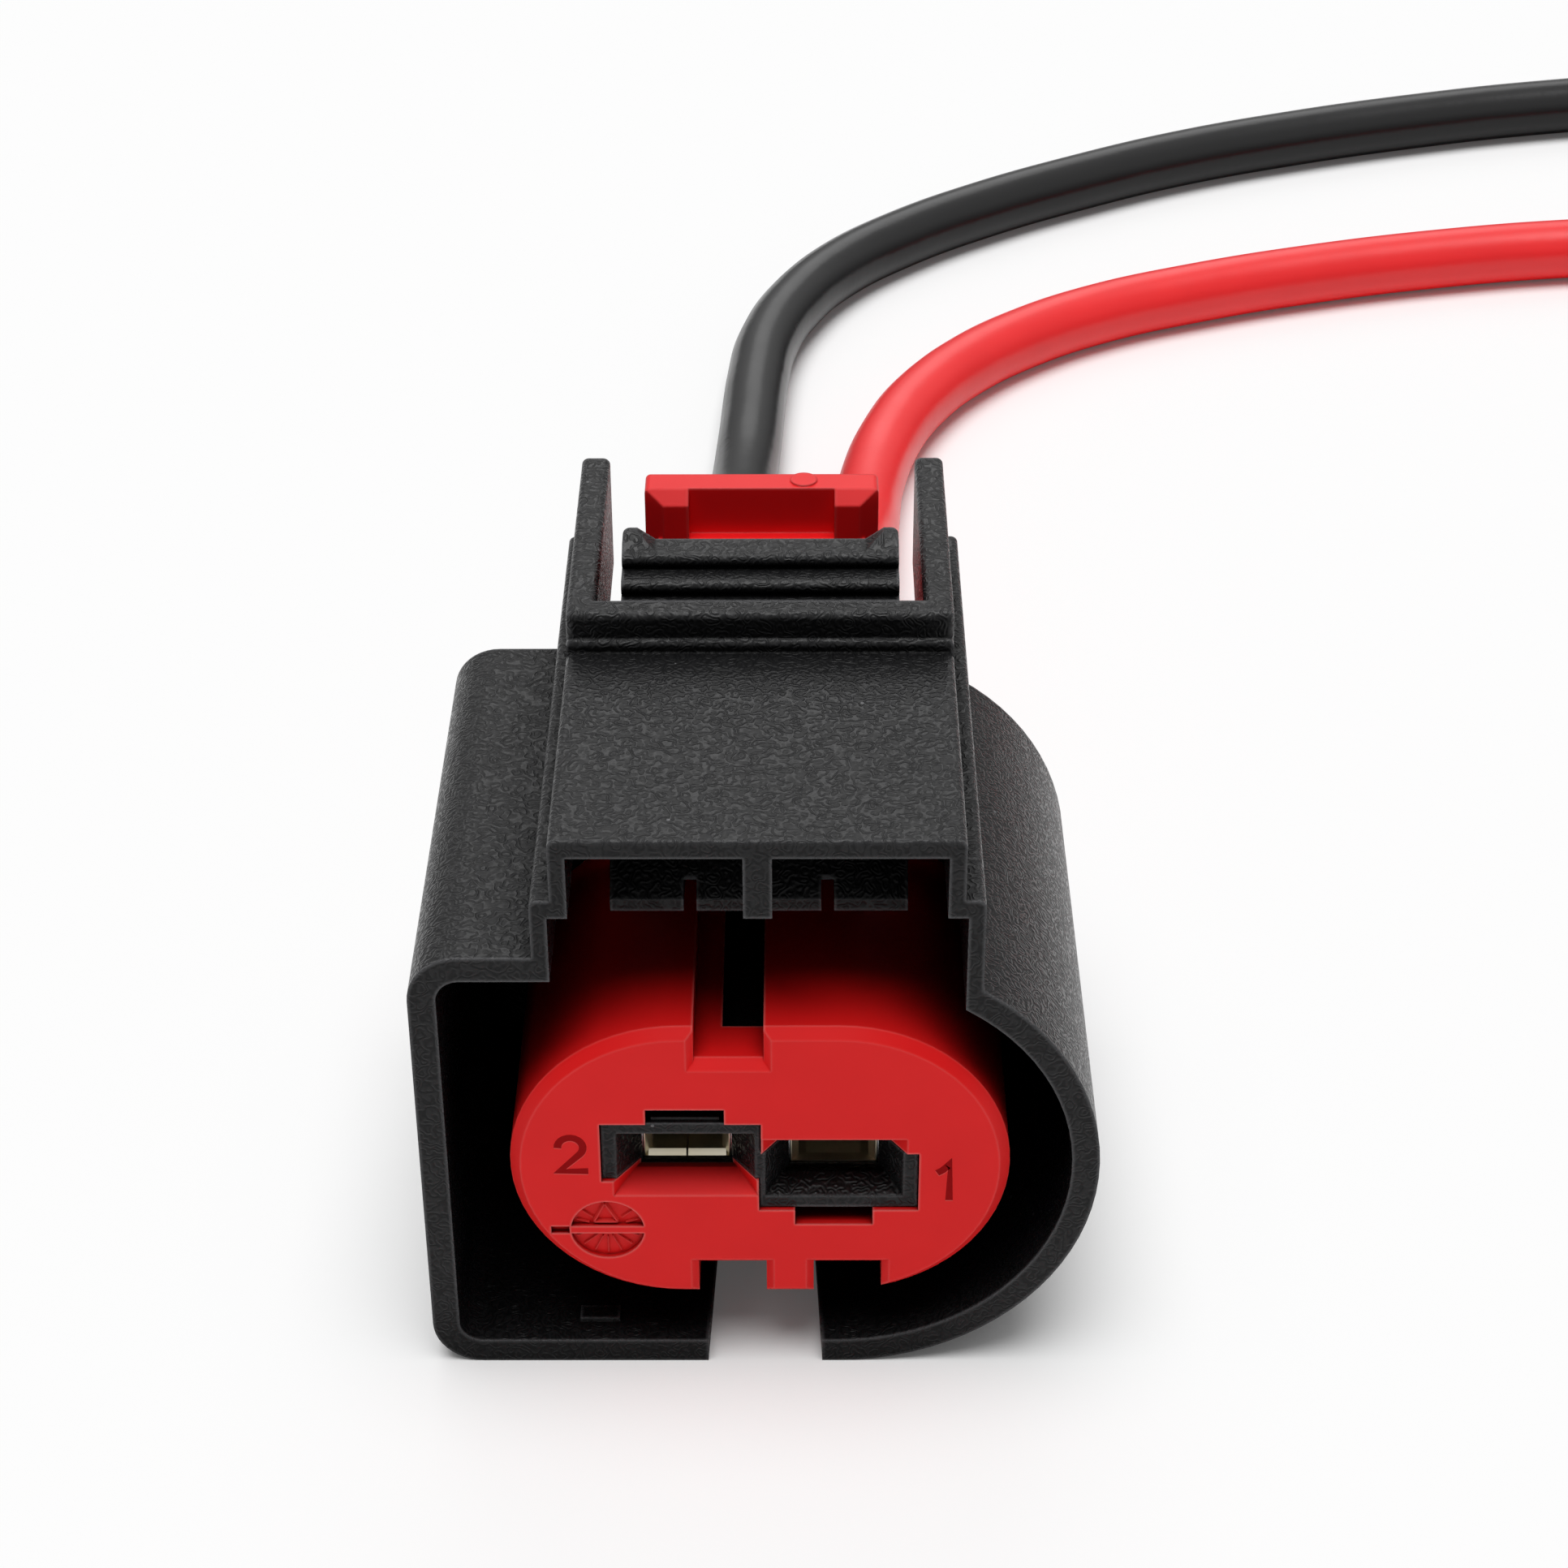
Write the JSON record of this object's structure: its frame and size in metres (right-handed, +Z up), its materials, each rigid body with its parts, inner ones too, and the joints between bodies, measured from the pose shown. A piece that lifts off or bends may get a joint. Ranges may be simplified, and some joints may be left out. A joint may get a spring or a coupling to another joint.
{
  "type": "fuel injector connector",
  "caption": "Sealed electrical plug for a fuel injector: black D-shaped shroud with latch tower, red keyed insert with two contact openings, red position lock and a black and a red lead.",
  "frame": {"origin": "centre of the connector's bounding box at its base, leads not counted", "axes": "+Z up, -Y out of the mating mouth, +X to the right as seen from the mating side"},
  "size_m": [0.0834, 0.0844, 0.0186],
  "materials": {
    "housing_black": "fine spark-eroded grain",
    "insert_red": "satin",
    "lock_red": "satin",
    "seal_grey": "matt silicone",
    "contact_tin": "tin plated",
    "sleeve_steel": "bright strip",
    "seal_brown": "matt silicone",
    "copper": "bare strands",
    "insulation_black": "satin",
    "insulation_red": "satin"
  },
  "bodies": {
    "connector": {"housing": "housing_black", "insert": "insert_red", "mating_seal": "seal_grey", "contact_1": "contact_tin", "contact_2": "contact_tin", "contact_sleeve_1": "sleeve_steel", "contact_sleeve_2": "sleeve_steel", "wire_seal_1": "seal_brown", "wire_seal_2": "seal_brown", "conductor_1": "copper", "conductor_2": "copper", "black_lead": "insulation_black", "red_lead": "insulation_red", "black_lead_end": "copper", "red_lead_end": "copper"},
    "position_lock": {"position_lock": "lock_red"}
  },
  "joints": [
    {"name": "position_lock_slide", "type": "slide", "parent": "connector", "child": "position_lock", "axis": [0, -1, 0], "range_m": [0, 0.0023]}
  ]
}
